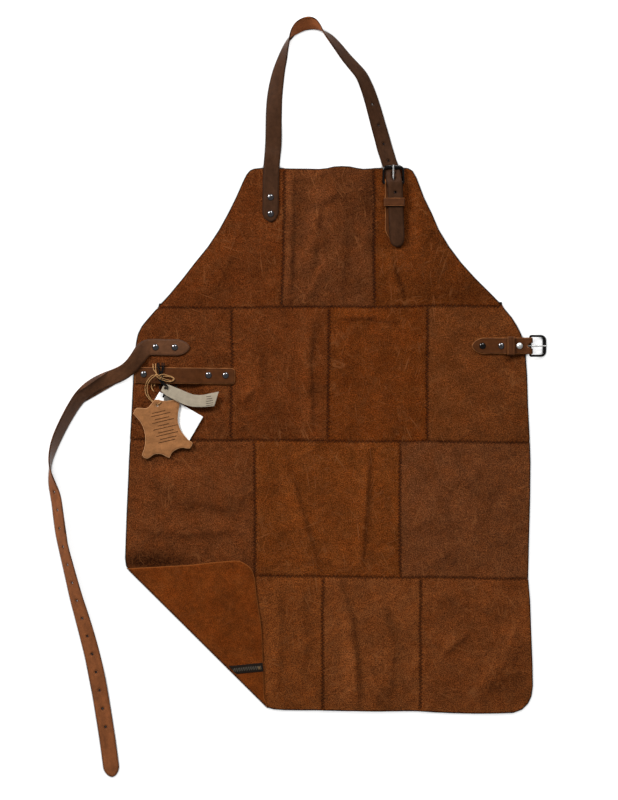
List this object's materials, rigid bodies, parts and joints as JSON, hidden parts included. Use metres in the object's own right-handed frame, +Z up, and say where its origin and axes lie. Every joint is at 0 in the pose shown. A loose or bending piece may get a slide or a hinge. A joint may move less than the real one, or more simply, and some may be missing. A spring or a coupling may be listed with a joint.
{
  "type": "work apron",
  "caption": "Patchwork leather work apron laid flat, with buckled neck strap, loose punched waist strap, riveted tool band, hanging tags and one turned-over corner.",
  "frame": {"origin": "centre of the footprint, on the surface that the apron lies on", "axes": "+Z up, away from that surface and out of the apron's front; +Y towards the neck strap; +X towards the side with the buckle"},
  "size_m": [0.748, 1.1405, 0.0239],
  "materials": {
    "suede_front": "napped, dark red-brown, burnished at the seams",
    "suede_back": "rough flesh side, warmer brown",
    "seam_tape": "black tape, zigzag stitched",
    "rivet_nickel": "polished nickel, domed",
    "strap_leather": "smooth grain, dark brown, lighter flesh side and cut edges",
    "chape_leather": "smooth grain, red-brown, lighter cut edges",
    "buckle_metal": "dark polished nickel",
    "tag_leather": "light tan, printed with plain ruled lines",
    "card": "white, uncoated",
    "label_cloth": "grey-beige, stiff",
    "jute": "twisted jute",
    "string": "black braided"
  },
  "bodies": {
    "apron": {"bib_panel_left": "suede_front", "bib_panel_centre": "suede_front", "bib_panel_right": "suede_front", "waist_panel_a": "suede_front", "waist_panel_b": "suede_front", "waist_panel_c": "suede_front", "waist_panel_d": "suede_front", "thigh_panel_a": "suede_front", "thigh_panel_b": "suede_front", "thigh_panel_c": "suede_front", "hem_panel_a": "suede_front", "hem_panel_b": "suede_front", "hem_panel_c": "suede_front", "hem_panel_d": "suede_front", "seam_tape_bib": "seam_tape", "seam_tape_waist": "seam_tape", "seam_tape_hem": "seam_tape", "seam_tape_bib_left": "seam_tape", "seam_tape_bib_right": "seam_tape", "seam_tape_waist_a": "seam_tape", "seam_tape_waist_b": "seam_tape", "seam_tape_waist_c": "seam_tape", "seam_tape_thigh_a": "seam_tape", "seam_tape_thigh_b": "seam_tape", "seam_tape_hem_b": "seam_tape", "seam_tape_hem_c": "seam_tape", "neck_rivet_lower": "rivet_nickel", "neck_rivet_upper": "rivet_nickel", "neck_chape_rivet_tip": "rivet_nickel", "neck_chape_rivet_fold": "rivet_nickel", "waist_rivet_inner": "rivet_nickel", "waist_rivet_outer": "rivet_nickel", "side_chape_rivet_tip": "rivet_nickel", "side_chape_rivet_mid": "rivet_nickel", "side_chape_rivet_fold": "rivet_nickel", "band_rivet_left": "rivet_nickel", "band_rivet_mid": "rivet_nickel", "band_rivet_right": "rivet_nickel", "neck_strap_anchor": "strap_leather", "neck_strap_tail": "strap_leather", "waist_strap_anchor": "strap_leather", "side_buckle_chape": "chape_leather", "neck_buckle_chape": "chape_leather", "tool_band": "chape_leather", "jute_twine": "jute", "black_string": "string"},
    "neck_loop": {"neck_strap_loop": "strap_leather"},
    "waist_strap": {"waist_strap_free": "strap_leather"},
    "folded_corner": {"flap_panel_a": "suede_back", "flap_panel_b": "suede_back", "flap_seam_tape": "seam_tape"},
    "neck_buckle": {"neck_buckle_frame": "buckle_metal"},
    "neck_prong": {"neck_buckle_prong": "buckle_metal"},
    "neck_keeper_ring": {"neck_keeper": "chape_leather"},
    "side_buckle": {"side_buckle_frame": "buckle_metal"},
    "side_prong": {"side_buckle_prong": "buckle_metal"},
    "side_keeper_ring": {"side_keeper": "chape_leather"},
    "leather_tag": {"hide_tag": "tag_leather"},
    "cloth_label": {"fabric_label": "label_cloth"},
    "white_card": {"price_card": "card"}
  },
  "joints": [
    {"name": "neck_loop_fold", "type": "hinge", "parent": "apron", "child": "neck_loop", "pos_m": [0.04867, 0.35873, 0.005], "axis": [1, 0, 0], "range_deg": [0, 100]},
    {"name": "waist_strap_fold", "type": "hinge", "parent": "apron", "child": "waist_strap", "pos_m": [-0.22103, 0.07538, 0.005], "axis": [0, 1, 0], "range_deg": [0, 100]},
    {"name": "corner_unfold", "type": "hinge", "parent": "apron", "child": "folded_corner", "pos_m": [-0.15083, -0.36157, 0.0028], "axis": [0.7096, -0.7046, 0], "range_deg": [0, 180]},
    {"name": "neck_buckle_tilt", "type": "hinge", "parent": "apron", "child": "neck_buckle", "pos_m": [0.14362, 0.32318, 0.0069], "axis": [1, 0, 0], "range_deg": [0, 15]},
    {"name": "neck_prong_lift", "type": "hinge", "parent": "neck_buckle", "child": "neck_prong", "pos_m": [0.14362, 0.32318, 0.0069], "axis": [1, 0, 0], "range_deg": [0, 12]},
    {"name": "neck_keeper_slide", "type": "slide", "parent": "apron", "child": "neck_keeper_ring", "axis": [0, 1, 0], "range_m": [-0.0015, 0.0015]},
    {"name": "side_buckle_swing", "type": "hinge", "parent": "apron", "child": "side_buckle", "pos_m": [0.34867, 0.07733, 0.0069], "axis": [0, -1, 0], "range_deg": [0, 110]},
    {"name": "side_prong_lift", "type": "hinge", "parent": "side_buckle", "child": "side_prong", "pos_m": [0.34867, 0.07733, 0.0069], "axis": [0, -1, 0], "range_deg": [0, 45]},
    {"name": "side_keeper_slide", "type": "slide", "parent": "apron", "child": "side_keeper_ring", "axis": [1, 0, 0], "range_m": [-0.0015, 0.0015]},
    {"name": "leather_tag_swivel", "type": "hinge", "parent": "apron", "child": "leather_tag", "pos_m": [-0.21038, -0.01177, 0.0064], "axis": [0, 0, 1], "range_deg": [-30, 30]},
    {"name": "cloth_label_swivel", "type": "hinge", "parent": "apron", "child": "cloth_label", "pos_m": [-0.19823, 0.01388, 0.01005], "axis": [0, 0, 1], "range_deg": [-30, 30]},
    {"name": "white_card_swivel", "type": "hinge", "parent": "apron", "child": "white_card", "pos_m": [-0.20093, 0.00128, 0.00375], "axis": [0, 0, 1], "range_deg": [-25, 25]}
  ]
}
